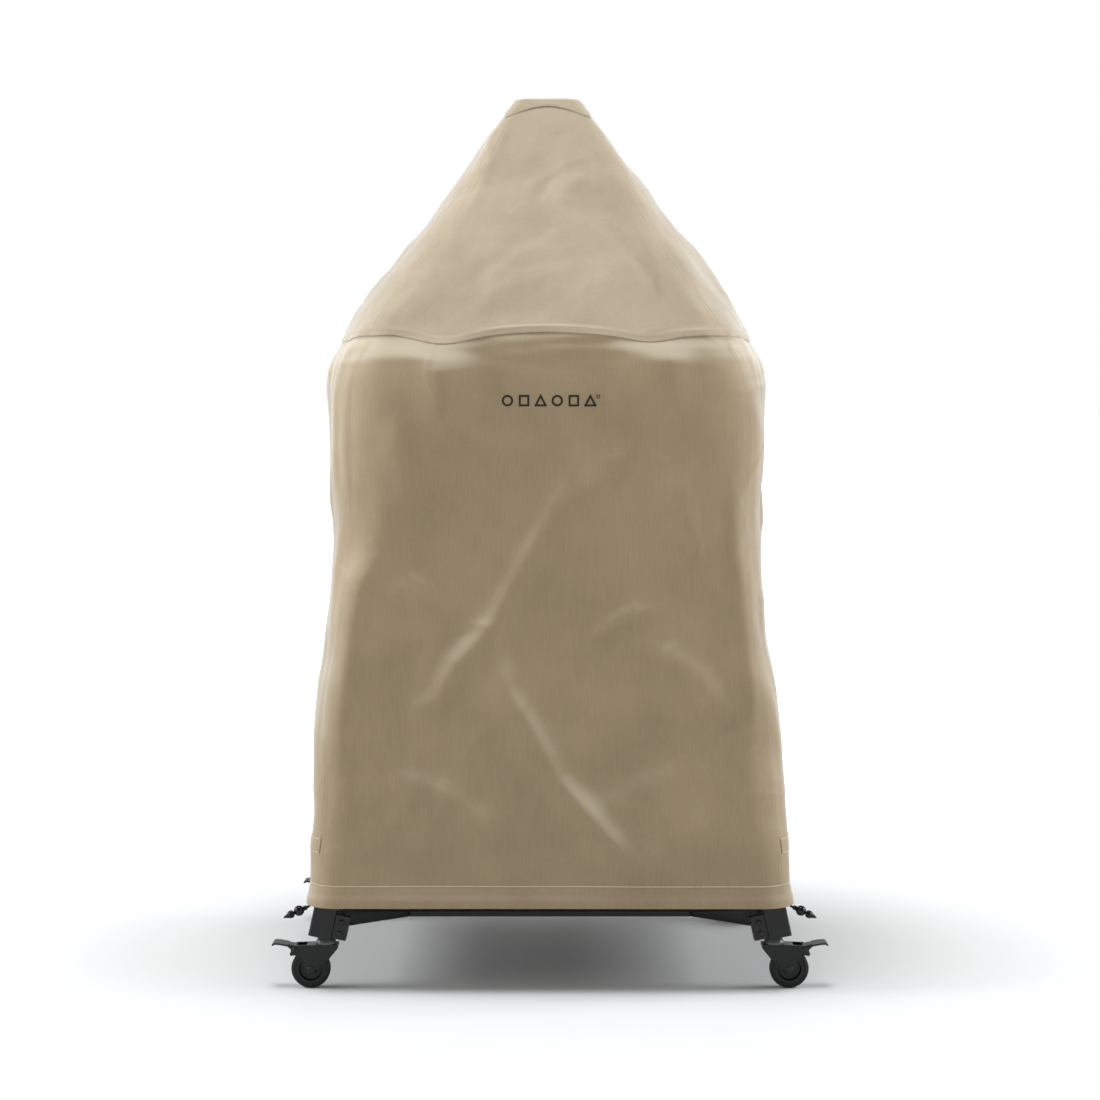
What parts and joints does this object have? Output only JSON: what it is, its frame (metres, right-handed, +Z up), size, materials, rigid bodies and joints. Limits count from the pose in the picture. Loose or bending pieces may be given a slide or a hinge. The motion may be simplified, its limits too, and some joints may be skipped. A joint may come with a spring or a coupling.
{
  "type": "grill cover",
  "caption": "Tall canvas grill cover with a peaked hood, lapped seam and drawcord hem, fitted over a four-legged castered cooker stand.",
  "frame": {"origin": "on the floor, under the middle of the cover", "axes": "+Z up, -Y towards the front, +X to the right as seen from the front"},
  "size_m": [1.066, 0.73, 1.725],
  "materials": {
    "skirt_canvas": "coated canvas",
    "hood_canvas": "coated canvas",
    "cap_canvas": "coated canvas",
    "hem_canvas": "coated canvas",
    "elastic_cord": "braided elastic",
    "side_webbing": "webbing",
    "lock_plastic": "gloss black",
    "leg_steel": "satin black powder coat",
    "arm_steel": "satin black powder coat",
    "bolt_steel": "blackened steel",
    "race_steel": "dark polished zinc",
    "plug_plastic": "moulded",
    "shelf_steel": "satin black powder coat",
    "tray_steel": "satin black powder coat",
    "hearth_enamel": "heat resistant paint",
    "cordierite": "fired stone",
    "dome_clay": "cast refractory",
    "flue_steel": "heat resistant paint",
    "fork_steel": "black paint",
    "pin_steel": "blackened steel",
    "tread_rubber": "moulded rubber",
    "hub_nylon": "moulded nylon",
    "pedal_steel": "satin black paint"
  },
  "bodies": {
    "stand": {"leg_front_left": "leg_steel", "leg_front_right": "leg_steel", "leg_back_left": "leg_steel", "leg_back_right": "leg_steel", "arm_front_left": "arm_steel", "arm_front_right": "arm_steel", "arm_back_left": "arm_steel", "arm_back_right": "arm_steel", "arm_bolts": "bolt_steel", "caster_stems": "race_steel", "leg_plugs": "plug_plastic", "lower_shelf": "shelf_steel", "left_rail": "leg_steel", "right_rail": "leg_steel", "worktop_tray": "tray_steel", "hearth_base": "hearth_enamel", "cooking_stone": "cordierite", "dome": "dome_clay", "flue_pipe": "flue_steel", "flue_lid": "flue_steel"},
    "cover": {"front_panel": "skirt_canvas", "back_panel": "skirt_canvas", "left_panel": "skirt_canvas", "right_panel": "skirt_canvas", "hood_front": "hood_canvas", "hood_back": "hood_canvas", "hood_left": "hood_canvas", "hood_right": "hood_canvas", "top_cap": "cap_canvas", "drawcord": "elastic_cord", "hem_band": "hem_canvas", "cord_lock_balls": "lock_plastic", "end_beads": "lock_plastic", "side_bands": "side_webbing"},
    "cord_lock_barrel_left": {"cord_lock_barrel_left": "lock_plastic"},
    "cord_lock_barrel_right": {"cord_lock_barrel_right": "lock_plastic"},
    "caster_front_left": {"caster_fork_front_left": "fork_steel", "caster_pins_front_left": "pin_steel"},
    "wheel_front_left": {"caster_tyre_front_left": "tread_rubber", "caster_hub_front_left": "hub_nylon"},
    "pedal_front_left": {"brake_pedal_front_left": "pedal_steel"},
    "caster_front_right": {"caster_fork_front_right": "fork_steel", "caster_pins_front_right": "pin_steel"},
    "wheel_front_right": {"caster_tyre_front_right": "tread_rubber", "caster_hub_front_right": "hub_nylon"},
    "pedal_front_right": {"brake_pedal_front_right": "pedal_steel"},
    "caster_back_left": {"caster_fork_back_left": "fork_steel", "caster_pins_back_left": "pin_steel"},
    "wheel_back_left": {"caster_tyre_back_left": "tread_rubber", "caster_hub_back_left": "hub_nylon"},
    "pedal_back_left": {"brake_pedal_back_left": "pedal_steel"},
    "caster_back_right": {"caster_fork_back_right": "fork_steel", "caster_pins_back_right": "pin_steel"},
    "wheel_back_right": {"caster_tyre_back_right": "tread_rubber", "caster_hub_back_right": "hub_nylon"},
    "pedal_back_right": {"brake_pedal_back_right": "pedal_steel"}
  },
  "joints": [
    {"name": "cover_lift", "type": "slide", "parent": "stand", "child": "cover", "axis": [0, 0, 1], "range_m": [0, 1.6]},
    {"name": "cord_lock_left_press", "type": "slide", "parent": "cover", "child": "cord_lock_barrel_left", "axis": [-0.8743, -0.3444, -0.342], "range_m": [0, 0.003], "stiffness_N_per_m": 800, "springref_m": -0.002},
    {"name": "cord_lock_right_press", "type": "slide", "parent": "cover", "child": "cord_lock_barrel_right", "axis": [0.8743, -0.3444, -0.342], "range_m": [0, 0.003], "stiffness_N_per_m": 800, "springref_m": -0.002},
    {"name": "swivel_front_left", "type": "hinge", "parent": "stand", "child": "caster_front_left", "pos_m": [-0.43, -0.3, 0.0855], "axis": [0, 0, 1], "continuous": true},
    {"name": "wheel_spin_front_left", "type": "hinge", "parent": "caster_front_left", "child": "wheel_front_left", "pos_m": [-0.459, -0.3, 0.0375], "axis": [0, -1, 0], "continuous": true},
    {"name": "brake_front_left", "type": "hinge", "parent": "caster_front_left", "child": "pedal_front_left", "pos_m": [-0.488, -0.3, 0.075], "axis": [0, -1, 0], "range_deg": [0, 20]},
    {"name": "swivel_front_right", "type": "hinge", "parent": "stand", "child": "caster_front_right", "pos_m": [0.43, -0.3, 0.0855], "axis": [0, 0, 1], "continuous": true},
    {"name": "wheel_spin_front_right", "type": "hinge", "parent": "caster_front_right", "child": "wheel_front_right", "pos_m": [0.459, -0.3, 0.0375], "axis": [0, 1, 0], "continuous": true},
    {"name": "brake_front_right", "type": "hinge", "parent": "caster_front_right", "child": "pedal_front_right", "pos_m": [0.488, -0.3, 0.075], "axis": [0, 1, 0], "range_deg": [0, 20]},
    {"name": "swivel_back_left", "type": "hinge", "parent": "stand", "child": "caster_back_left", "pos_m": [-0.43, 0.3, 0.0855], "axis": [0, 0, 1], "continuous": true},
    {"name": "wheel_spin_back_left", "type": "hinge", "parent": "caster_back_left", "child": "wheel_back_left", "pos_m": [-0.459, 0.3, 0.0375], "axis": [0, -1, 0], "continuous": true},
    {"name": "brake_back_left", "type": "hinge", "parent": "caster_back_left", "child": "pedal_back_left", "pos_m": [-0.488, 0.3, 0.075], "axis": [0, -1, 0], "range_deg": [0, 20]},
    {"name": "swivel_back_right", "type": "hinge", "parent": "stand", "child": "caster_back_right", "pos_m": [0.43, 0.3, 0.0855], "axis": [0, 0, 1], "continuous": true},
    {"name": "wheel_spin_back_right", "type": "hinge", "parent": "caster_back_right", "child": "wheel_back_right", "pos_m": [0.44864, 0.27779, 0.0375], "axis": [0.766, 0.6428, 0], "continuous": true},
    {"name": "brake_back_right", "type": "hinge", "parent": "caster_back_right", "child": "pedal_back_right", "pos_m": [0.46728, 0.25557, 0.075], "axis": [0.766, 0.6428, 0], "range_deg": [0, 20]}
  ]
}
